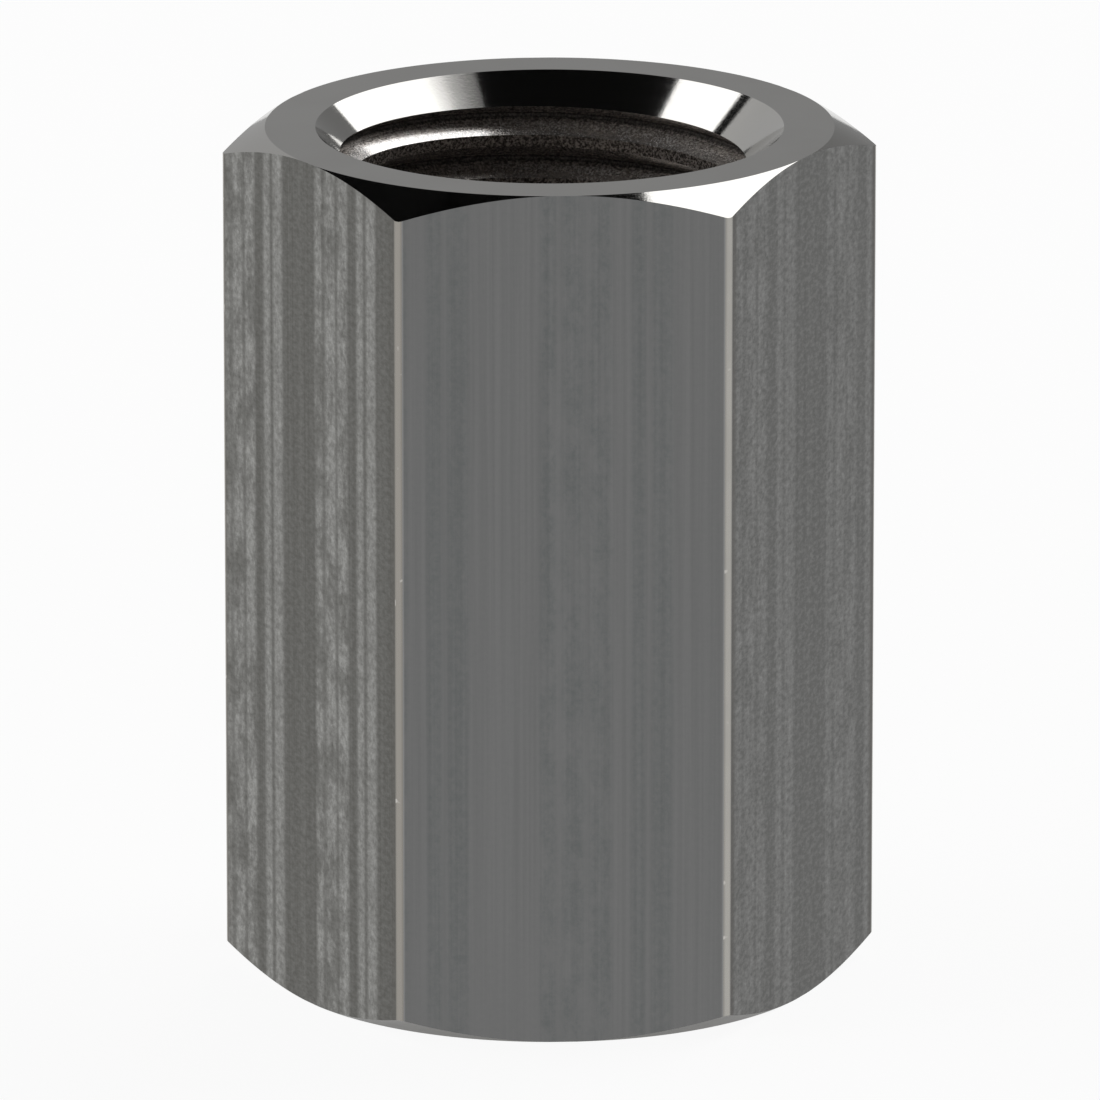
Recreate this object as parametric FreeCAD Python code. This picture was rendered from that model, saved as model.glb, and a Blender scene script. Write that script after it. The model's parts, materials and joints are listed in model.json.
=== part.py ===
import FreeCAD, Part
import math
import os

# Hex pipe socket: one length of drawn hexagon bar, chamfered at both ends, bored
# right through for an internal pipe thread and countersunk at both mouths.
# Lengths are in millimetres and angles in degrees.
# The bore's axis is +Z, the lower end face lies on Z = 0 and is centred on the
# origin, and two of the six corners lie on the X axis.

# Bore: its wall stands at the crests of a G 1/4 internal thread, as its tapping drill
# leaves them
THREAD_MINOR_DIAMETER = 11.8

# Countersunk mouths, the same at both ends
MOUTH_WIDTH = 1.1
MOUTH_INCLUDED_ANGLE = 90.0

# Flat ring of each end face, measured from the mouth's rim to the middle of a flat
END_RING_WIDTH = 1.5

# Hexagon bar: its length, and the rounding of its six long edges
LENGTH = 26.0
EDGE_RADIUS = 0.25

# Turned chamfers that cut the six corners back at both ends.
# The angle is taken from the end face, and the land is the straight stretch of
# edge that the middle of each flat keeps there.
CHAMFER_ANGLE = 30.0
CHAMFER_LAND = 0.8

# Sizes that follow from the ones above
bore_radius = THREAD_MINOR_DIAMETER / 2
mouth_radius = bore_radius + MOUTH_WIDTH
mouth_slope = math.tan(math.radians(MOUTH_INCLUDED_ANGLE / 2))
mouth_depth = MOUTH_WIDTH / mouth_slope
flat_distance = mouth_radius + END_RING_WIDTH
across_flats = 2 * flat_distance
sharp_corner_radius = flat_distance / math.cos(math.radians(30))
chamfer_radius = math.hypot(flat_distance, CHAMFER_LAND / 2)
chamfer_slope = math.tan(math.radians(CHAMFER_ANGLE))


def turned(profile):
    """Turn a closed profile of (radius, height) points about the Z axis, from mid-flat."""
    points = [FreeCAD.Vector(0, radius, height) for radius, height in profile]
    face = Part.Face(Part.makePolygon(points + points[:1]))
    return face.revolve(FreeCAD.Vector(0, 0, 0), FreeCAD.Vector(0, 0, 1), 360)


def hexagon_bar():
    """The drawn bar, cut to length, with its six long edges rounded."""
    corners = []
    for step in range(6):
        angle = math.radians(60 * step)
        x = sharp_corner_radius * math.cos(angle)
        y = sharp_corner_radius * math.sin(angle)
        corners.append(FreeCAD.Vector(x, y, 0))
    section = Part.Face(Part.makePolygon(corners + corners[:1]))
    bar = section.extrude(FreeCAD.Vector(0, 0, LENGTH))
    long_edges = [edge for edge in bar.Edges if edge.BoundBox.ZLength > LENGTH / 2]
    return bar.makeFillet(EDGE_RADIUS, long_edges)


def chamfered_blank():
    """The turned form that the bar is trimmed to: a cone on each end of a cylinder."""
    outer_radius = across_flats
    drop = (outer_radius - chamfer_radius) * chamfer_slope
    return turned(
        [
            (0, 0),
            (chamfer_radius, 0),
            (outer_radius, drop),
            (outer_radius, LENGTH - drop),
            (chamfer_radius, LENGTH),
            (0, LENGTH),
        ]
    )


def bore_cutter():
    """The hole through the bar, opening out to a countersink at each end."""
    beyond = mouth_depth
    start_radius = mouth_radius + beyond * mouth_slope
    return turned(
        [
            (0, -beyond),
            (start_radius, -beyond),
            (bore_radius, mouth_depth),
            (bore_radius, LENGTH - mouth_depth),
            (start_radius, LENGTH + beyond),
            (0, LENGTH + beyond),
        ]
    )


def socket_body():
    """The finished socket: the bar, its ends turned and its bore cut."""
    trimmed = hexagon_bar().common(chamfered_blank())
    return trimmed.cut(bore_cutter()).removeSplitter().Solids[0]


os.makedirs("parts", exist_ok=True)
socket = socket_body()
socket.exportStep("parts/socket_body.step")

box = socket.optimalBoundingBox()
print("across flats", round(across_flats, 3), "mouth", round(2 * mouth_radius, 3))
print("bore wall from", round(mouth_depth, 4), "to", round(LENGTH - mouth_depth, 4))
print("chamfer circle", round(2 * chamfer_radius, 3))
print("box", round(box.XLength, 3), round(box.YLength, 3), round(box.ZLength, 3))
print("valid", socket.isValid(), "faces", len(socket.Faces), "volume", round(socket.Volume, 2))
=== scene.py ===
# %% [markdown]
# # A hex pipe socket, finished in Blender
# A pipe socket joins two threaded pipes end to end. This one starts as a length of drawn
# hexagon bar. A lathe faces and chamfers its ends, drills it through, countersinks both
# mouths and taps a pipe thread. The lesson follows that order, because every tool leaves
# its own kind of surface behind, and those surfaces are what makes the socket look real.

# %% Load the fixed frame
import json
import math

import bpy
from mathutils import Euler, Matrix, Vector


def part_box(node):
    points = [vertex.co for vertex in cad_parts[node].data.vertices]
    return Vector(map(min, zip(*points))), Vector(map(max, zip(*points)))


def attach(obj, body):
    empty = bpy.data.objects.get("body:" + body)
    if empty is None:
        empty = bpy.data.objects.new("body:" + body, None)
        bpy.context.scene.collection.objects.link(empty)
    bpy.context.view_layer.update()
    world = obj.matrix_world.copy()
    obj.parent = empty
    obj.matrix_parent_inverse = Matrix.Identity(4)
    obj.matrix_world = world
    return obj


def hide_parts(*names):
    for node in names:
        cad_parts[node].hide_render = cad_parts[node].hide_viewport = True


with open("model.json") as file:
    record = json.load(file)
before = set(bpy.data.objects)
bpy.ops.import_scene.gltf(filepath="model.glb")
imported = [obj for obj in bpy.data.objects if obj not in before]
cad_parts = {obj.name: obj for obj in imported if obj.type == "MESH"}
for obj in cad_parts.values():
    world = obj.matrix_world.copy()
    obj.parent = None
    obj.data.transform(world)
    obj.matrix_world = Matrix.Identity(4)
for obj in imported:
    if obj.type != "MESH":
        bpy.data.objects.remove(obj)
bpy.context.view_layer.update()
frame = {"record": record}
low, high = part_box("socket_body")
print("CAD box in metres:", tuple(low), tuple(high))

# %% [markdown]
# The sizes come from the frame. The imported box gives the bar, and the record's threaded hole
# gives the bore: its radius is the tapping drill's, and its wall ends where the two
# countersinks begin. A countersink of 90 degrees is as wide as it is deep. Seen from the axis,
# half a side of a hexagon takes up 30 degrees.

# %% Sizes of the socket, in metres
MM = 0.001
LENGTH = high.z - low.z
HALF_SIDE = math.radians(30)
FLAT_DISTANCE = (high.y - low.y) / 2
CORNER_DISTANCE = FLAT_DISTANCE / math.cos(HALF_SIDE)
mounts = {mount["name"]: mount for mount in frame["record"]["mounts"]}
bore = mounts["upper_thread"]["dims"]
TAPPING_RADIUS = bore["r_mm"] * MM
MOUTH_DEPTH = (LENGTH - bore["length_mm"] * MM) / 2
MOUTH_RADIUS = TAPPING_RADIUS + MOUTH_DEPTH
print("across flats", 2 * FLAT_DISTANCE, "length", LENGTH, "mouth", 2 * MOUTH_RADIUS)

# %% [markdown]
# Each tool marks the metal it touches with its own finish. A Boolean can carry the tool's
# material over to the faces that it cuts, so the finishes are named first, as empty
# materials, and are filled in once the shape is done.

# %% Name the finishes
FINISH_NAMES = (
    "bold_flat",
    "calm_flat",
    "light_flat",
    "rolled_edge",
    "turned_end",
    "tapped_thread",
)
finishes = {finish: bpy.data.materials.new(finish) for finish in FINISH_NAMES}
print("finishes:", ", ".join(finishes))

# %% [markdown]
# ## The bar
# Drawn hexagon bar has six flats and six long edges that the die leaves slightly round. A
# cylinder with six sides is already a hexagon, so it only needs a turn of 30 degrees, to
# bring two corners onto the X axis, and a bevel on its long edges. It is made too long, as
# sawn stock is, and the lathe will bring it to length.

# %% Saw a length of bar
STOCK_OVERHANG = 2 * MM
STOCK_LENGTH = LENGTH + 2 * STOCK_OVERHANG


def select_only(piece=None):
    """Leave nothing selected but this piece, which becomes the active one."""
    bpy.ops.object.select_all(action="DESELECT")
    if piece:
        piece.select_set(True)
        bpy.context.view_layer.objects.active = piece


select_only()
bpy.ops.mesh.primitive_cylinder_add(
    vertices=6,
    radius=CORNER_DISTANCE,
    depth=STOCK_LENGTH,
    location=(0, 0, LENGTH / 2),
    rotation=(0, 0, HALF_SIDE),
)
socket = bpy.context.object
socket.name = "hex_socket"
bpy.ops.object.transform_apply(location=True, rotation=True, scale=True)
print("bar sawn to", STOCK_LENGTH)

# %% [markdown]
# Each pair of opposite flats gets its own finish: the die lines are alike on all, but each
# pair's tones are painted light and shade, set to how the light falls on it.
# The finish is picked by the heading of a face: the direction that it looks in, seen from above.

# %% Give the flats their finishes
FLAT_FINISHES = {30: "bold_flat", 90: "calm_flat", 150: "light_flat"}
EDGE_SLOT = len(FLAT_FINISHES)
for finish in FLAT_FINISHES.values():
    socket.data.materials.append(finishes[finish])
socket.data.materials.append(finishes["rolled_edge"])
for face in socket.data.polygons:
    if abs(face.normal.z) < 0.5:
        heading = math.degrees(math.atan2(face.normal.y, face.normal.x)) % 180
        face.material_index = list(FLAT_FINISHES).index(round(heading))
print("finishes by face:", [face.material_index for face in socket.data.polygons])

# %% [markdown]
# A die can't press the metal into quite sharp corners, so the six long edges come out round. A
# bevel rounds them, and gives the new faces a finish of their own.

# %% Round the long edges
EDGE_RADIUS = 0.25 * MM
EDGE_SEGMENTS = 8
bpy.ops.object.mode_set(mode="EDIT")
bpy.ops.mesh.select_mode(type="EDGE")
bpy.ops.mesh.select_all(action="DESELECT")
bpy.ops.object.mode_set(mode="OBJECT")
corners = socket.data.vertices
for edge in socket.data.edges:
    first, second = (corners[index].co for index in edge.vertices)
    edge.select = abs(first.z - second.z) > LENGTH
bpy.ops.object.mode_set(mode="EDIT")
bpy.ops.mesh.bevel(
    offset=EDGE_RADIUS * math.tan(HALF_SIDE),
    segments=EDGE_SEGMENTS,
    affect="EDGES",
    material=EDGE_SLOT,
)
bpy.ops.object.mode_set(mode="OBJECT")
print("bar:", len(socket.data.polygons), "faces")

# %% [markdown]
# ## Turned tools
# Everything that the lathe does is round, so it can be drawn as half an outline and spun
# about the axis. The outline starts as a small plane that is merged to one point, and the
# point is extruded from corner to corner, as one would click it out by hand.

# %% Draw an outline and spin it
TURNING_STEPS = 256
WELD = 0.001 * MM


def draw_outline(name, points):
    """A chain of edges through (radius, height) points, left open in edit mode."""
    select_only()
    radius, height = points[0]
    bpy.ops.mesh.primitive_plane_add(size=MM, location=(radius, 0, height))
    outline = bpy.context.object
    outline.name = name
    bpy.ops.object.transform_apply(location=True, rotation=True, scale=True)
    bpy.ops.object.mode_set(mode="EDIT")
    bpy.ops.mesh.select_mode(type="VERT")
    bpy.ops.mesh.select_all(action="SELECT")
    bpy.ops.mesh.merge(type="CENTER")
    for start, end in zip(points, points[1:]):
        step = (end[0] - start[0], 0, end[1] - start[1])
        bpy.ops.mesh.extrude_region_move(TRANSFORM_OT_translate={"value": step})
    return outline


def close_tool(tool, finish):
    """Weld the seam, turn the faces outwards and give the tool its finish."""
    bpy.ops.mesh.select_all(action="SELECT")
    bpy.ops.mesh.remove_doubles(threshold=WELD)
    bpy.ops.mesh.normals_make_consistent(inside=False)
    bpy.ops.object.mode_set(mode="OBJECT")
    tool.data.materials.append(finishes[finish])
    print(tool.name, "has", len(tool.data.polygons), "faces")
    return tool


def turn(name, points, finish):
    """A solid turned from an outline that starts and ends on the axis."""
    tool = draw_outline(name, points)
    bpy.ops.mesh.select_all(action="SELECT")
    bpy.ops.mesh.spin(steps=TURNING_STEPS, angle=2 * math.pi, center=(0, 0, 0), axis=(0, 0, 1))
    return close_tool(tool, finish)


def machine(work, tool, operation):
    """Apply one tool to the work, and put the tool away."""
    select_only(work)
    cut = work.modifiers.new("cut", "BOOLEAN")
    cut.operation = operation
    cut.solver = "EXACT"
    cut.material_mode = "TRANSFER"
    cut.object = tool
    bpy.ops.object.modifier_apply(modifier=cut.name)
    bpy.data.objects.remove(tool, do_unlink=True)
    print("socket has", len(work.data.polygons), "faces")


print("tools are turned in", TURNING_STEPS, "steps")

# %% [markdown]
# ## Faced and chamfered ends
# The lathe cuts both ends square and takes the corners off at 30 degrees. The cone just
# misses the middle of each flat, so the chamfer dies out there, and where it meets a flat
# it leaves the curved line that every hexagon fitting shows. Keeping only what the bar and
# the turned blank share gives exactly that line.

# %% Turn the ends
CHAMFER_ANGLE = math.radians(30)
CHAMFER_LAND = 0.8 * MM
chamfer_radius = math.hypot(FLAT_DISTANCE, CHAMFER_LAND / 2)
blank_radius = 2 * FLAT_DISTANCE
chamfer_drop = (blank_radius - chamfer_radius) * math.tan(CHAMFER_ANGLE)
blank = turn(
    "blank",
    [
        (0, 0),
        (chamfer_radius, 0),
        (blank_radius, chamfer_drop),
        (blank_radius, LENGTH - chamfer_drop),
        (chamfer_radius, LENGTH),
        (0, LENGTH),
    ],
    "turned_end",
)
machine(socket, blank, "INTERSECT")

# %% [markdown]
# ## Drilled and countersunk
# One turned tool drills the hole and opens both mouths: the countersinks are the cones that
# lead a pipe into the thread. The drill is drawn a little thin, so that the tap, which comes
# next, cuts the whole wall and leaves a clean edge on every crest.

# %% Drill and countersink
TAPPING_ALLOWANCE = 0.15 * MM
OVERRUN = MOUTH_DEPTH
drill_radius = TAPPING_RADIUS - TAPPING_ALLOWANCE
cone_end = MOUTH_RADIUS - drill_radius
drill = turn(
    "drill",
    [
        (0, -OVERRUN),
        (MOUTH_RADIUS + OVERRUN, -OVERRUN),
        (drill_radius, cone_end),
        (drill_radius, LENGTH - cone_end),
        (MOUTH_RADIUS + OVERRUN, LENGTH + OVERRUN),
        (0, LENGTH + OVERRUN),
    ],
    "turned_end",
)
machine(socket, drill, "DIFFERENCE")

# %% [markdown]
# ## The thread
# This is a parallel pipe thread with 19 turns to the inch. The tapping drill is wider than the
# crests of the basic thread, so they are flat. The standard has flanks at 55 degrees to each
# other, but the light in the photograph falls on wider ones, so the grooves are drawn at 70
# degrees, with a small rounding in the root. One pitch of the outline is drawn from crest to
# crest, and the Screw modifier winds it up the axis. The result is a tap: capped at both ends,
# it cuts the thread and its run-out into the countersinks in one go.

# %% Draw one pitch of the thread
PITCH = 25.4 / 19 * MM
HALF_GROOVE = 0.49 * MM
FLANK_ANGLE = math.radians(35)
ROOT_ROUNDING = 0.06 * MM
ROOT_STEPS = 6
sharp_root = TAPPING_RADIUS + HALF_GROOVE / math.tan(FLANK_ANGLE)
root_centre = sharp_root - ROOT_ROUNDING / math.sin(FLANK_ANGLE)


def one_pitch(root_height):
    """The thread's outline from one crest to the next, round a root at this height."""
    outline = [(TAPPING_RADIUS, root_height + side) for side in (-PITCH / 2, -HALF_GROOVE)]
    for step in range(ROOT_STEPS + 1):
        angle = (math.pi / 2 - FLANK_ANGLE) * (2 * step / ROOT_STEPS - 1)
        radius = root_centre + ROOT_ROUNDING * math.cos(angle)
        outline.append((radius, root_height + ROOT_ROUNDING * math.sin(angle)))
    outline += [(TAPPING_RADIUS, root_height + side) for side in (HALF_GROOVE, PITCH / 2)]
    return outline


print("one pitch:", len(one_pitch(0)), "points, root at", root_centre + ROOT_ROUNDING)

# %% [markdown]
# The photograph shows where the thread starts: at the back of the bore the first full root
# lies 1.29 mm below the end face. A right-hand thread climbs one pitch in a turn to the left,
# seen from above, and that fixes its height on the X axis, where the outline is drawn.

# %% Wind the tap and cut the thread
ROOT_DEPTH_AT_BACK = 1.29 * MM
BACK_HEADING = 87.3
WINDING_STEPS = 128
SPARE_TURNS = 3
top_root = LENGTH - ROOT_DEPTH_AT_BACK - PITCH * BACK_HEADING / 360
turns_below = math.ceil(top_root / PITCH) + 1
tap = draw_outline("tap", one_pitch(top_root - turns_below * PITCH))
bpy.ops.object.mode_set(mode="OBJECT")
winding = tap.modifiers.new("winding", "SCREW")
winding.axis = "Z"
winding.angle = 2 * math.pi
winding.screw_offset = PITCH
winding.iterations = turns_below + SPARE_TURNS
winding.steps = WINDING_STEPS
winding.render_steps = WINDING_STEPS
winding.use_merge_vertices = True
winding.merge_threshold = WELD
bpy.ops.object.modifier_apply(modifier=winding.name)
bpy.ops.object.mode_set(mode="EDIT")
bpy.ops.mesh.select_all(action="SELECT")
bpy.ops.mesh.remove_doubles(threshold=WELD)
bpy.ops.mesh.fill_holes(sides=0)
bpy.ops.mesh.select_mode(type="FACE")
bpy.ops.mesh.select_all(action="DESELECT")
bpy.ops.mesh.select_face_by_sides(number=4, type="GREATER")
bpy.ops.mesh.poke()
close_tool(tap, "tapped_thread")
machine(socket, tap, "DIFFERENCE")

# %% [markdown]
# ## Clean edges
# Turned metal has crisp edges between its surfaces and none within them. Faces that meet at
# a small angle are shaded as one, and every line where two finishes meet is marked sharp. The
# Boolean leaves faces with many corners, so they are cut into triangles of good shape first.

# %% Weld, shade and sharpen
SMOOTH_ANGLE = math.radians(22)
select_only(socket)
bpy.ops.object.mode_set(mode="EDIT")
bpy.ops.mesh.select_all(action="SELECT")
bpy.ops.mesh.remove_doubles(threshold=WELD)
bpy.ops.mesh.normals_make_consistent(inside=False)
bpy.ops.mesh.quads_convert_to_tris(quad_method="BEAUTY", ngon_method="BEAUTY")
bpy.ops.mesh.select_mode(type="FACE")
bpy.ops.object.mode_set(mode="OBJECT")
bpy.ops.object.shade_smooth_by_angle(angle=SMOOTH_ANGLE)
bpy.ops.object.mode_set(mode="EDIT")
for slot in range(len(socket.material_slots)):
    bpy.ops.mesh.select_mode(type="FACE")
    bpy.ops.mesh.select_all(action="DESELECT")
    socket.active_material_index = slot
    bpy.ops.object.material_slot_select()
    bpy.ops.mesh.region_to_loop()
    bpy.ops.mesh.mark_sharp()
bpy.ops.mesh.select_all(action="DESELECT")
bpy.ops.mesh.select_mode(type="VERT")
bpy.ops.mesh.select_non_manifold()
bpy.ops.object.mode_set(mode="OBJECT")
open_points = sum(vertex.select for vertex in socket.data.vertices)
triangles = sum(len(face.vertices) - 2 for face in socket.data.polygons)
print("socket:", triangles, "triangles,", open_points, "points on open edges")
print("slots:", [slot.material.name for slot in socket.material_slots])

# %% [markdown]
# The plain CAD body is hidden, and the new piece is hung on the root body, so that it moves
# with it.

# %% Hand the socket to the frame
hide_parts("socket_body")
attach(socket, "root")

# %% [markdown]
# ## Finishes
# Bare metal is mostly seen by what it mirrors, so its finish is told by small things: how
# bright the steel is, how dull, and how it is scratched and worn. Each finish is a tree of
# nodes that starts from a place on the socket in millimetres, so that a number in a pattern
# is a real size. Places are read from Object coordinates, which stay with the part when it is
# moved or copied. The helpers add one node each, as one would from the Add menu.

# %% Helpers that add a node
TO_MM = 1 / MM


def plug(tree, value, inlet):
    """Link an output to an inlet, or set the inlet to a plain value."""
    if isinstance(value, bpy.types.NodeSocket):
        tree.links.new(value, inlet)
    else:
        inlet.default_value = value


def add(tree, kind, inlets, outlet=0, **settings):
    """Add a node, feed its inlets by name or number, and return one of its outlets."""
    node = tree.nodes.new(kind)
    for name, setting in settings.items():
        setattr(node, name, setting)
    for name, value in inlets.items():
        plug(tree, value, node.inputs[name])
    return node.outputs[outlet]


def bare_metal(finish):
    """Open a finish as metal: its tree, its shader and the place on the socket in mm."""
    material = finishes[finish]
    material.use_nodes = True
    tree = material.node_tree
    shader = tree.nodes["Principled BSDF"]
    shader.inputs["Metallic"].default_value = 1
    where = add(tree, "ShaderNodeTexCoord", {}, "Object")
    place = add(tree, "ShaderNodeVectorMath", {0: where, "Scale": TO_MM}, operation="SCALE")
    print(finish, "opened")
    return tree, shader, place


print("millimetres to a metre:", TO_MM)

# %% [markdown]
# More helpers do the sums. Noise gives spots of a chosen size, a stretch turns part of its range
# into a share between two values, a blend mixes two colours by such a share, and a relief raises
# the surface by it. Noise seldom leaves the middle of its range, so most stretches lie there.

# %% Helpers for sums, noise and colours
NOISE_SPAN = (0.3, 0.7)
NOISE_MIDDLE = 0.5


def calc(tree, operation, *values):
    """One sum with up to three values."""
    return add(tree, "ShaderNodeMath", dict(enumerate(values)), operation=operation)


def noise(tree, place, per_mm=1.0, detail=2.0, harshness=0.5):
    """Soft spots between 0 and 1, about so many to a millimetre."""
    inlets = {"Vector": place, "Scale": per_mm, "Detail": detail, "Roughness": harshness}
    return add(tree, "ShaderNodeTexNoise", inlets)


def stretch(tree, value, low, high, start=0.0, end=1.0):
    """Run smoothly from start to end while the value goes from low to high."""
    inlets = {"Value": value, "From Min": low, "From Max": high, "To Min": start, "To Max": end}
    return add(tree, "ShaderNodeMapRange", inlets, interpolation_type="SMOOTHSTEP")


def blend(tree, share, first, second):
    """A colour between two, by a share."""
    node = tree.nodes.new("ShaderNodeMix")
    node.data_type = "RGBA"
    plug(tree, share, node.inputs["Factor"])
    for inlet, colour in ((node.inputs["A"], first), (node.inputs["B"], second)):
        plug(tree, (*colour, 1) if isinstance(colour, tuple) else colour, inlet)
    return node.outputs["Result"]


def relief(tree, shader, height, depth):
    """Bump from a height between 0 and 1, with its full depth in metres."""
    inlets = {"Height": height, "Strength": 1, "Distance": depth}
    plug(tree, add(tree, "ShaderNodeBump", inlets, "Normal"), shader.inputs["Normal"])


print("most of a noise lies between", NOISE_SPAN)

# %% [markdown]
# ### Drawn flats
# The die that draws the bar scores it lengthwise. Scores that are polished through the dull
# grey skin show as bright lines, and since the dies are alike, every flat carries the same set
# of lines, repeated across it. The first three are worn and broken, the next two run on, and
# the last is faint. A colour ramp is a strip chart of one repeat: it is white on a line and
# black between.

# %% Chart the lines of one repeat
BROKEN_LINES = (
    (0.045, 0),
    (0.085, 1),
    (0.12, 1),
    (0.155, 0.3),
    (0.195, 1),
    (0.26, 1),
    (0.295, 0.3),
    (0.32, 1),
    (0.39, 1),
    (0.435, 0),
)
CLEAN_LINES = (
    (0.49, 0),
    (0.53, 1),
    (0.565, 1),
    (0.595, 0.1),
    (0.63, 1),
    (0.69, 1),
    (0.735, 0),
    (0.85, 0),
    (0.915, 0.12),
    (0.98, 0),
)


def line_chart(tree, share, lines):
    """A chart of one repeat, from pairs of a position and the level there."""
    node = tree.nodes.new("ShaderNodeValToRGB")
    ramp = node.color_ramp
    ramp.interpolation = "EASE"
    for end in ramp.elements:
        end.color = (0, 0, 0, 1)
    for position, level in lines:
        ramp.elements.new(position).color = (level, level, level, 1)
    plug(tree, share, node.inputs["Fac"])
    return node.outputs["Color"]


print("points in the two charts:", len(BROKEN_LINES), "and", len(CLEAN_LINES))

# %% [markdown]
# A pattern has to know where it is on the hexagon. Distances are taken from the axis, along a
# level heading. At right angles to a flat's own heading, the distance says how far across the
# flat a point lies. Along the headings of the three pairs of flats, the largest distance tells
# whether a point is inside the hexagon, and on a long edge the smallest one tells how far the
# point is from the edge's middle.

# %% Where a point lies on the hexagon
def along(tree, place, heading):
    """How far a place lies from the axis in a level heading, given in degrees."""
    angle = math.radians(heading)
    inlets = {0: place, 1: (math.cos(angle), math.sin(angle), 0)}
    return add(tree, "ShaderNodeVectorMath", inlets, "Value", operation="DOT_PRODUCT")


def off_axis(tree, place, pick):
    """The largest or smallest distance along the headings of the three pairs of flats."""
    first, second, third = (
        calc(tree, "ABSOLUTE", along(tree, place, heading)) for heading in FLAT_FINISHES
    )
    return calc(tree, pick, calc(tree, pick, first, second), third)


def height_of(tree, place):
    """How high a place lies above the lower end."""
    return add(tree, "ShaderNodeSeparateXYZ", {0: place}, "Z")


HALF_FLAT = FLAT_DISTANCE * TO_MM * math.tan(HALF_SIDE)
FLAT_END = HALF_FLAT - EDGE_RADIUS * TO_MM * math.tan(HALF_SIDE)
print("half a flat in mm:", HALF_FLAT, "and up to the rounded edge:", FLAT_END)

# %% [markdown]
# The wear is patchy. Noise that is stretched along the bar dims the lines here and there, and a
# finer one makes their brightness uneven. Each pattern is given by its spots to a millimetre
# across and along the bar, its detail, its harshness and a shift, which keeps it from looking
# like the others. The wear tells which part of the noise dims the lines, and how far.

# %% Wear of the lines
RAGGED = (6, 4, 2, 0.5, 1)
PATCHES = (1.1, 0.6, 5, 0.75, 7)
FLECKS = (5, 4, 3, 0.75, 3)
WANDER = 0.04
BROKEN_WEAR = (0.36, 0.62, 0.15, 1.1)
CLEAN_WEAR = (0.25, 0.65, 0.5, 1.0)
FLECK_LEVELS = (0.4, 1.25)


def flat_noise(tree, spot, pattern, heading):
    """Noise in one of the patterns, for a spot on a flat with this heading."""
    across, height = spot
    fine_across, fine_along, detail, harshness, shift = pattern
    inlets = {
        "X": calc(tree, "MULTIPLY", across, fine_across),
        "Y": calc(tree, "MULTIPLY", height, fine_along),
        "Z": heading + shift,
    }
    place = add(tree, "ShaderNodeCombineXYZ", inlets)
    return noise(tree, place, detail=detail, harshness=harshness)


def worn_lines(tree, spot, heading, repeat, start):
    """How bright the die lines are at a spot, from 0 to about 1."""
    ragged = flat_noise(tree, spot, RAGGED, heading)
    wander = calc(tree, "MULTIPLY_ADD", ragged, WANDER, -WANDER / 2)
    moved = calc(tree, "ADD", spot[0], wander)
    share = calc(tree, "FRACT", calc(tree, "MULTIPLY_ADD", moved, 1 / repeat, -start / repeat))
    patches = flat_noise(tree, spot, PATCHES, heading)
    charts = []
    for lines, wear in ((BROKEN_LINES, BROKEN_WEAR), (CLEAN_LINES, CLEAN_WEAR)):
        level = stretch(tree, patches, *wear)
        charts.append(calc(tree, "MULTIPLY", line_chart(tree, share, lines), level))
    flecks = flat_noise(tree, spot, FLECKS, heading)
    fleck = stretch(tree, flecks, *NOISE_SPAN, *FLECK_LEVELS)
    return calc(tree, "MULTIPLY", calc(tree, "MAXIMUM", *charts), fleck)


print("lines wander by", WANDER, "mm")

# %% [markdown]
# Hairlines and grain cover the skin between the lines. Along both long borders of a flat the
# skin turns a little brown, and right beside the long edges it is painted lighter, a painted
# highlight spilling over from the bright edge, so that an edge fades softly into its flats.

# %% Draw one pair of flats
HAIRLINES = (7, 0.04, 3, 0.7, 11)
HAIRLINE_DEPTH = 0.0012 * MM
SPECKS = (4.2, 6.5, 2, 0.72, 5)
LEAST_SHINE = 0.1
BROWN_BAND = (HALF_FLAT - 0.5, HALF_FLAT - 0.2)
BROWN_TINT = (0.75, 0.68, 0.62)
EDGE_GLOW_BAND = (FLAT_END - 0.065, FLAT_END)
EDGE_GLOW_GAIN = 1.5
FLAT_ROUGHNESS = (0.3, 0.4)


def draw_flat(finish, heading, repeat, start, skin, bright, lines, hairs, grain, border):
    """One pair of flats, from its dull skin and its bright lines."""
    tree, shader, place = bare_metal(finish)
    across = along(tree, place, heading + 90)
    spot = (across, height_of(tree, place))
    hairline = flat_noise(tree, spot, HAIRLINES, heading)
    speck = flat_noise(tree, spot, SPECKS, heading)
    level = calc(tree, "MULTIPLY", worn_lines(tree, spot, heading, repeat, start), lines)
    for pattern, strength in ((hairline, hairs), (speck, grain)):
        ripple = calc(tree, "SUBTRACT", pattern, NOISE_MIDDLE)
        level = calc(tree, "MULTIPLY_ADD", ripple, strength, level)
    steel = blend(tree, calc(tree, "ADD", level, LEAST_SHINE), skin, bright)
    off_middle = calc(tree, "ABSOLUTE", across)
    brown = tuple(tint * part for tint, part in zip(BROWN_TINT, skin))
    steel = blend(tree, stretch(tree, off_middle, *BROWN_BAND, 0, border), steel, brown)
    # Beside the long edges the skin is painted lighter: a painted highlight from the bright edge.
    sheen = tuple(EDGE_GLOW_GAIN * part for part in skin)
    steel = blend(tree, stretch(tree, off_middle, *EDGE_GLOW_BAND), steel, sheen)
    plug(tree, steel, shader.inputs["Base Color"])
    plug(tree, stretch(tree, hairline, *NOISE_SPAN, *FLAT_ROUGHNESS), shader.inputs["Roughness"])
    relief(tree, shader, hairline, HAIRLINE_DEPTH)


print("brown border in mm from the middle:", BROWN_BAND)
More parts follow.
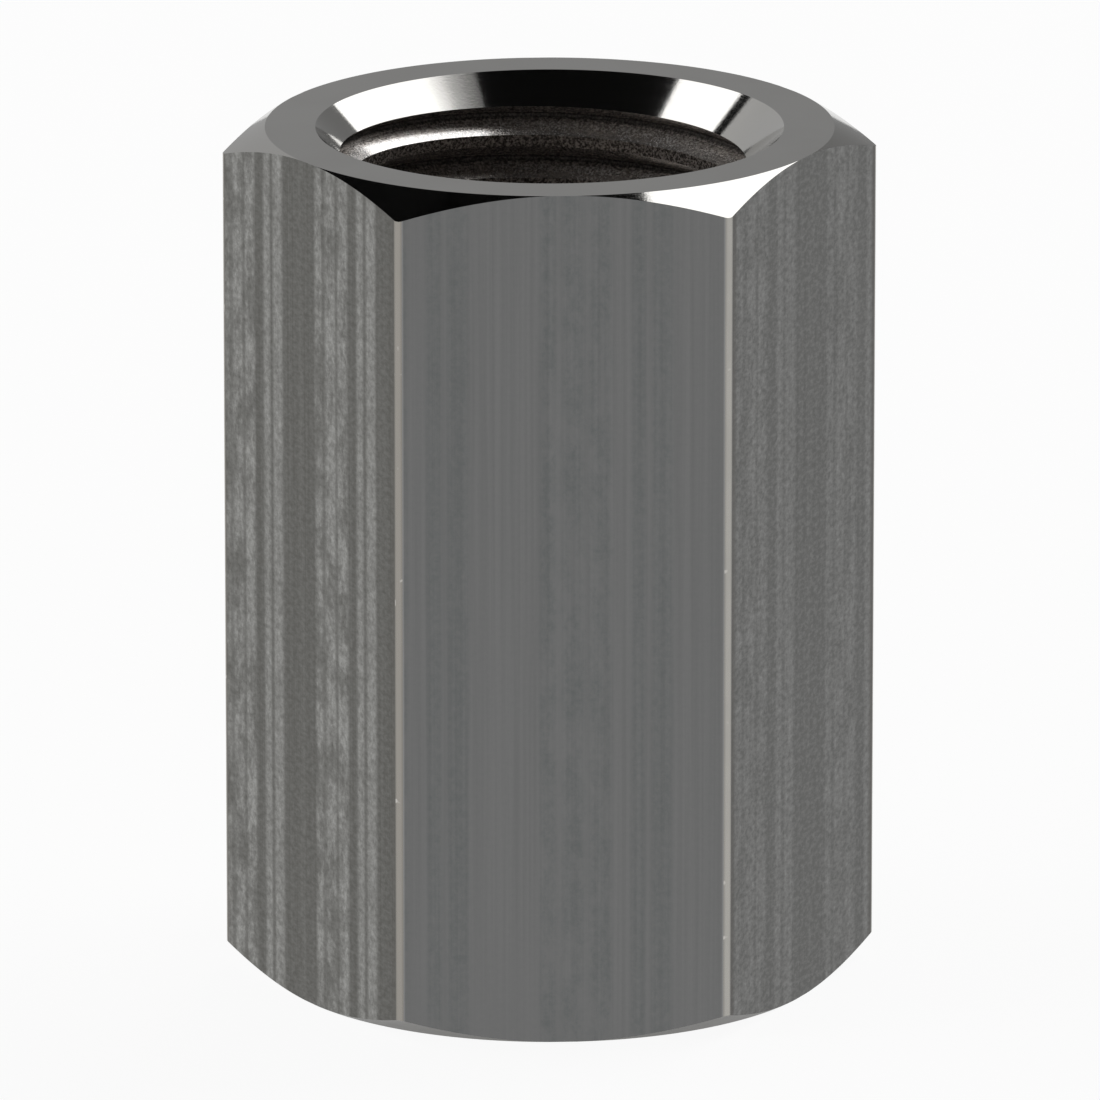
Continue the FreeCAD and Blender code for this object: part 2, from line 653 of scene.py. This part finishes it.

# %% [markdown]
# The three pairs of flats carry the same die lines, but how bright their skin is and how much
# the lines stand out is painted light and shade, set to how the light falls on each pair: bold
# bright lines, a calm face with lines a shade darker than its skin, and a speckled one. The set
# of lines repeats after five or six millimetres, and the start says where a repeat begins.

# %% Finish the three pairs of flats
draw_flat(
    "bold_flat",
    heading=210,
    repeat=5.2,
    start=0.0,
    skin=(0.092, 0.09, 0.082),
    bright=(0.335, 0.335, 0.322),
    lines=0.62,
    hairs=0.45,
    grain=0.55,
    border=0.3,
)
draw_flat(
    "calm_flat",
    heading=270,
    repeat=6.05,
    start=-1.08,
    skin=(0.175, 0.175, 0.174),
    bright=(0.133, 0.14, 0.139),
    lines=0.6,
    hairs=0.4,
    grain=0.35,
    border=0.0,
)
draw_flat(
    "light_flat",
    heading=330,
    repeat=6.02,
    start=-4.9,
    skin=(0.09, 0.09, 0.086),
    bright=(0.22, 0.22, 0.215),
    lines=0.45,
    hairs=0.1,
    grain=1.6,
    border=0.6,
)

# %% [markdown]
# ### Rolled edges
# The long edges are rubbed brighter than the flats, because everything that touches the bar
# touches them first. They are a little warmer in colour, and the side towards +X is painted
# lighter, as painted light. A few small nicks carry painted glints, and towards the flats the
# edges are painted darker, as painted shade.

# %% Finish the long edges
RUB_FINENESS = (3, 3, 0.8)
RUB_SHARE = 0.25
RUB_DEPTH = 0.001 * MM
PAINTED_SIDE_LIGHT_SPAN = (-6, 6)
PAINTED_SIDE_LIGHT_SHARE = 0.6
LESS_RUBBED_SHADED = (0.304, 0.285, 0.257)
MORE_RUBBED_LIT = (0.445, 0.435, 0.408)
PAINTED_SHADE_BAND = (0.05, 0.135)
PAINTED_SHADE_SHARE = 0.45
PAINTED_SHADE_COLOUR = (0.14, 0.133, 0.122)
NICKS_PER_MM = 2.6
NICK_SPAN = (0.7, 0.77)
NICK_GLINT_COLOUR = (0.54, 0.52, 0.49)
EDGE_ROUGHNESS = (0.22, 0.34)
tree, shader, place = bare_metal("rolled_edge")
drawn_out = add(tree, "ShaderNodeVectorMath", {0: place, 1: RUB_FINENESS}, operation="MULTIPLY")
rub = noise(tree, drawn_out, detail=3)
# The side towards +X is painted lighter: painted light, on top of the rub's wear.
side = stretch(tree, along(tree, place, 0), *PAINTED_SIDE_LIGHT_SPAN, 0, PAINTED_SIDE_LIGHT_SHARE)
wear_and_painted_light = blend(tree, calc(tree, "MULTIPLY_ADD", rub, RUB_SHARE, side), LESS_RUBBED_SHADED, MORE_RUBBED_LIT)
# Towards the flats the edges are painted darker: painted shade.
border = stretch(tree, off_axis(tree, place, "MINIMUM"), *PAINTED_SHADE_BAND, 0, PAINTED_SHADE_SHARE)
wear_and_painted_light = blend(tree, border, wear_and_painted_light, PAINTED_SHADE_COLOUR)
# Small nicks are painted bright: painted glints.
nick_glint = stretch(tree, noise(tree, place, NICKS_PER_MM, detail=1), *NICK_SPAN)
plug(tree, blend(tree, nick_glint, wear_and_painted_light, NICK_GLINT_COLOUR), shader.inputs["Base Color"])
plug(tree, stretch(tree, rub, *NOISE_SPAN, *EDGE_ROUGHNESS), shader.inputs["Roughness"])
relief(tree, shader, rub, RUB_DEPTH)

# %% [markdown]
# ### Turned ends and mouths
# A sharp lathe tool leaves the ends and the countersinks bright, with rings too fine to see one
# by one. The rings follow the distance from the axis, and a faint cloud keeps the colour from
# being quite even. A little grit in the surface makes the borders of reflections grainy.

# %% Finish the turned surfaces
RINGS_PER_MM = 14
RING_DEPTH = 0.0001 * MM
TURNED_GRIT = (14, 3, 0.7)
TURNED_GRIT_SHARE = 6
CLOUDS_PER_MM = 0.35
DARKER_STEEL = (0.4, 0.392, 0.376)
LIGHTER_STEEL = (0.425, 0.419, 0.403)
TURNED_ROUGHNESS = (0.05, 0.09)


def reach_of(tree, place):
    """How far a place lies from the axis."""
    level = add(tree, "ShaderNodeVectorMath", {0: place, 1: (1, 1, 0)}, operation="MULTIPLY")
    return add(tree, "ShaderNodeVectorMath", {0: level}, "Value", operation="LENGTH")


tree, shader, place = bare_metal("turned_end")
inlets = {"X": reach_of(tree, place), "Z": height_of(tree, place)}
rings = noise(tree, add(tree, "ShaderNodeCombineXYZ", inlets), RINGS_PER_MM)
grit = noise(tree, place, *TURNED_GRIT)
cloud = stretch(tree, noise(tree, place, CLOUDS_PER_MM), *NOISE_SPAN)
plug(tree, blend(tree, cloud, DARKER_STEEL, LIGHTER_STEEL), shader.inputs["Base Color"])
plug(tree, stretch(tree, rings, *NOISE_SPAN, *TURNED_ROUGHNESS), shader.inputs["Roughness"])
relief(tree, shader, calc(tree, "MULTIPLY_ADD", grit, TURNED_GRIT_SHARE, rings), RING_DEPTH)

# %% [markdown]
# ### The tapped thread
# A tap tears the metal as it cuts, so the thread is gritty, and cutting oil has left it slightly
# brown. The tap is pulled in by the flanks that look up, and rubs a glossy skin over their grit
# near the crests, where the metal is smoothest. Those flanks are also painted lighter, as painted
# light from the lamps overhead, while the other flanks and the crests are painted darker, as
# painted shade, and the roots darker still, as painted shade deep in the groove. So the finish
# asks how far a point is from the axis, and whether its face looks up. Each pair of distances
# says where a change begins and where it ends.

# %% Sizes and colours of the thread's finish
RUBBED_REACH = (6.08, 6.32)
FLANK_REACH = (6.25, 6.5)
ROUGH_REACH = (6.35, 6.5)
ROOT_SHADE_REACH = (6.4, 6.52)
FACING_UP = (0, 0.4)
TORN_GRIT = (13, 3, 0.8)
TORN_GRIT_SPAN = (0.42, 0.62)
TORN_GRIT_DEPTH = 0.001 * MM
STAINS_PER_MM = 1.1
STAIN_SPAN = (0.35, 0.65)
BROWN_STEEL = (0.74, 0.67, 0.61)
PALE_STEEL = (0.82, 0.79, 0.76)
TORN_PITS = (0.21, 0.186, 0.168)
SHADED_PITS = (0.05, 0.044, 0.039)
SHADED_GRAINS = (0.54, 0.48, 0.435)
ROOT_SHADE = (0.03, 0.027, 0.024)
ROOT_SHADE_SHARE = 0.75
THREAD_ROUGHNESS = (0.2, 0.6)
THREAD_SHADER = {"Metallic": 0.6, "Coat Roughness": 0.15, "Coat IOR": 3.2}
print("the rubbed skin fades out between", RUBBED_REACH, "mm from the axis")

# %% Finish the thread
tree, shader, place = bare_metal("tapped_thread")
for inlet, value in THREAD_SHADER.items():
    shader.inputs[inlet].default_value = value
reach = reach_of(tree, place)
normal = add(tree, "ShaderNodeTexCoord", {}, "Normal")
# Flanks that look up are painted lighter, as painted light; the rest darker, as painted shade.
looks_up = stretch(tree, height_of(tree, normal), *FACING_UP)
lit_flank = calc(tree, "MULTIPLY", looks_up, stretch(tree, reach, *FLANK_REACH, 1, 0))
sheen = calc(tree, "MULTIPLY", looks_up, stretch(tree, reach, *RUBBED_REACH, 1, 0))
grit = stretch(tree, noise(tree, place, *TORN_GRIT), *TORN_GRIT_SPAN)
stain = stretch(tree, noise(tree, place, STAINS_PER_MM, detail=3), *STAIN_SPAN)
lit_torn = blend(tree, grit, TORN_PITS, blend(tree, stain, BROWN_STEEL, PALE_STEEL))
shaded_dull = blend(tree, grit, SHADED_PITS, SHADED_GRAINS)
# The roots are painted darker: painted shade deep in the groove.
shaded_dull = blend(tree, stretch(tree, reach, *ROOT_SHADE_REACH, 0, ROOT_SHADE_SHARE), shaded_dull, ROOT_SHADE)
plug(tree, blend(tree, lit_flank, shaded_dull, lit_torn), shader.inputs["Base Color"])
plug(tree, sheen, shader.inputs["Coat Weight"])
plug(tree, stretch(tree, reach, *ROUGH_REACH, *THREAD_ROUGHNESS), shader.inputs["Roughness"])
relief(tree, shader, grit, TORN_GRIT_DEPTH)

# %% [markdown]
# ## Studio
# The socket stands on a plain pale floor. Most of the floor's white is shown as it is to the
# camera and to the metal, which mirrors it, and the rest is paint that the lamps light, so the
# floor keeps the socket's shadow. Under the end face and the bore there is no such white, and
# the lower chamfer mirrors little of it, because the gap below it is in shade.

# %% Lay the floor
FLOOR_SIDE = 8
FLOOR_GREY = 0.9


def stage_sheet(name, size, place):
    """A flat sheet of the studio, which is not part of the socket."""
    select_only()
    bpy.ops.mesh.primitive_plane_add(size=1, location=place)
    sheet = bpy.context.object
    sheet.name = name
    sheet.scale = (*size, 1)
    bpy.ops.object.transform_apply(location=True, rotation=True, scale=True)
    return sheet


def matt_paint(name, level):
    """Paint of one grey with no gloss: its material and its shader."""
    paint = bpy.data.materials.new(name)
    paint.use_nodes = True
    shader = paint.node_tree.nodes["Principled BSDF"]
    shader.inputs["Base Color"].default_value = (level, level, level, 1)
    shader.inputs["Roughness"].default_value = 1
    shader.inputs["Specular IOR Level"].default_value = 0
    return paint, shader


floor = stage_sheet("floor", (FLOOR_SIDE, FLOOR_SIDE), (0, 0, low.z))
floor_paint, lit_paint = matt_paint("floor_paint", FLOOR_GREY)
floor.data.materials.append(floor_paint)
print("floor:", tuple(floor.dimensions))

# %% Show the floor's white to the camera and the metal
PLAIN_WHITE = 0.93
SHADED_WHITE = 0.23
tree = floor_paint.node_tree
rays = tree.nodes.new("ShaderNodeLightPath").outputs
where = add(tree, "ShaderNodeTexCoord", {}, "Object")
beside = calc(tree, "GREATER_THAN", off_axis(tree, where, "MAXIMUM"), FLAT_DISTANCE)
uncovered = calc(tree, "GREATER_THAN", reach_of(tree, where), FLAT_DISTANCE)
level = calc(tree, "MULTIPLY_ADD", beside, PLAIN_WHITE - SHADED_WHITE, SHADED_WHITE)
mirrored = calc(tree, "MAXIMUM", rays["Is Glossy Ray"], rays["Is Transmission Ray"])
mirrored = calc(tree, "MULTIPLY", mirrored, level)
seen = calc(tree, "MULTIPLY", rays["Is Camera Ray"], PLAIN_WHITE)
share = calc(tree, "MULTIPLY", calc(tree, "MAXIMUM", seen, mirrored), uncovered)
white = add(tree, "ShaderNodeEmission", {"Color": (1, 1, 1, 1), "Strength": 1})
inlets = {0: share, 1: lit_paint.outputs["BSDF"], 2: white}
finished = add(tree, "ShaderNodeMixShader", inlets)
plug(tree, finished, tree.nodes["Material Output"].inputs["Surface"])
print("share of plain white:", PLAIN_WHITE)

# %% [markdown]
# The bright and black fields in the mouth and on the front chamfers are the studio itself: two
# soft panels overhead, one on each side, and a dark card behind them. The panels are rectangles
# that lie level at one height, turned about the axis. The right one has a dimmer near border,
# made of three narrow strips.

# %% Hang the card and the panels
PANEL_HEIGHT = LENGTH + 1.0
PANEL_BRIGHTNESS = 2.7
CARD_GAP = 0.03
CARD_SIZE = (4.2, 3.3)
CARD_PLACE = (-0.2, -0.35, PANEL_HEIGHT + CARD_GAP)
CARD_GREY = 0.01
LEFT_HEADING = -12.7
LEFT_SIDES = (-1.93, -0.726)
LEFT_ENDS = (-0.9, 0.713)
RIGHT_HEADING = 20
RIGHT_SIDES = (0.37, 2.25)
RIGHT_ENDS = (-0.19, 1.22)
STRIP_SIDES = (0.32, 1.2)
STRIP_DEPTH = 0.037
STRIP_BRIGHTNESS = (1.9, 0.8, 0.25)
card = stage_sheet("dark_card", CARD_SIZE, CARD_PLACE)
card.data.materials.append(matt_paint("card_paint", CARD_GREY)[0])


def soft_panel(name, heading, sides, ends, brightness):
    """A lamp between two sides and two ends, all measured from the axis, then turned."""
    turn_angle = math.radians(heading)
    width = sides[1] - sides[0]
    depth = ends[1] - ends[0]
    middle = Vector((sum(sides) / 2, sum(ends) / 2, 0))
    middle.rotate(Euler((0, 0, turn_angle)))
    middle.z = PANEL_HEIGHT
    select_only()
    bpy.ops.object.light_add(type="AREA", location=middle, rotation=(0, 0, turn_angle))
    lamp = bpy.context.object
    lamp.name = name
    lamp.data.shape = "RECTANGLE"
    lamp.data.size = width
    lamp.data.size_y = depth
    lamp.data.energy = brightness * math.pi * width * depth
    print(name, "is", round(width, 2), "by", round(depth, 2), "m")


soft_panel("right_panel", RIGHT_HEADING, RIGHT_SIDES, RIGHT_ENDS, PANEL_BRIGHTNESS)
for number, brightness in enumerate(STRIP_BRIGHTNESS, 1):
    near = RIGHT_ENDS[0] - STRIP_DEPTH * number
    strip_ends = (near, near + STRIP_DEPTH)
    soft_panel(f"right_panel_border_{number}", RIGHT_HEADING, STRIP_SIDES, strip_ends, brightness)
soft_panel("left_panel", LEFT_HEADING, LEFT_SIDES, LEFT_ENDS, PANEL_BRIGHTNESS)

# %% [markdown]
# In the mouth, one corner of the left panel is cut off at a slant. On a set that is done with a
# flag, a small dark card that hangs just below the lamp. Its straight border lies on the cut.

# %% Flag one corner of the left panel
FLAG_GAP = 0.02
FLAG_SIZE = (1.0, 0.5)
FLAG_SLANT = 50.3
FLAG_PLACE = (-0.963, 0.425, 0)
flag_turn = Euler((0, 0, math.radians(LEFT_HEADING - FLAG_SLANT)))
corner = Vector(FLAG_PLACE)
corner.rotate(Euler((0, 0, math.radians(LEFT_HEADING))))
inward = Vector((0, FLAG_SIZE[1] / 2, 0))
inward.rotate(flag_turn)
flag = stage_sheet("corner_flag", FLAG_SIZE, (0, 0, 0))
flag.data.transform(flag_turn.to_matrix().to_4x4())
flag.location = corner + inward + Vector((0, 0, PANEL_HEIGHT - FLAG_GAP))
flag.data.materials.append(card.data.materials[0])
print("flag at", tuple(round(part, 3) for part in flag.location))

# %% [markdown]
# The rest of the room is soft grey, brighter towards the left, where a window would be. The
# world reads the direction that it is looked at in, and a ramp turns the part of it that points
# right or left into a grey.

# %% Light the room
ROOM_TONES = ((-0.6, 0.75), (-0.5, 0.65), (-0.21, 0.495), (0.05, 0.352), (0.3, 0.26))
left_end, right_end = ROOM_TONES[0][0], ROOM_TONES[-1][0]
world = bpy.data.worlds.new("room")
bpy.context.scene.world = world
world.use_nodes = True
tree = world.node_tree
direction = add(tree, "ShaderNodeTexCoord", {}, "Generated")
sideways = add(tree, "ShaderNodeSeparateXYZ", {0: direction}, "X")
inlets = {"Value": sideways, "From Min": left_end, "From Max": right_end}
share = add(tree, "ShaderNodeMapRange", inlets)
tones = tree.nodes.new("ShaderNodeValToRGB")
plug(tree, share, tones.inputs["Fac"])
for _ in ROOM_TONES[2:]:
    tones.color_ramp.elements.new(0.5)
for element, (side, level) in zip(tones.color_ramp.elements, ROOM_TONES):
    element.position = (side - left_end) / (right_end - left_end)
    element.color = (level, level, level, 1)
plug(tree, tones.outputs["Color"], tree.nodes["Background"].inputs["Color"])
print("room tones:", ROOM_TONES)

# %% [markdown]
# ## Camera
# The photograph was matched by its ellipses and long edges: the camera stands a little to the
# left of a flat, looks down at about 16 degrees and is far away through a long lens. The aim is
# off the socket's middle by a hair.

# %% Place the camera
CAMERA_AZIMUTH = math.radians(-2.77)
CAMERA_ELEVATION = math.radians(15.58)
CAMERA_DISTANCE = 0.48883
LENS = 531.87
SENSOR = 36
AIM_RIGHT = 0.0098 * MM
AIM_DOWN = 0.1503 * MM
outward = Vector((0, -1, 0))
outward.rotate(Euler((-CAMERA_ELEVATION, 0, 0)))
outward.rotate(Euler((0, 0, CAMERA_AZIMUTH)))
facing = (-outward).to_track_quat("-Z", "Y")
aim = facing @ Vector((AIM_RIGHT, -AIM_DOWN, 0))
eye = Vector((0, 0, LENGTH / 2)) + outward * CAMERA_DISTANCE + aim
select_only()
bpy.ops.object.camera_add(location=eye, rotation=facing.to_euler())
camera = bpy.context.object
camera.data.lens = LENS
camera.data.sensor_width = SENSOR
bpy.context.scene.camera = camera
bpy.context.scene.view_settings.view_transform = "Standard"
print("camera at", tuple(round(part, 4) for part in eye))
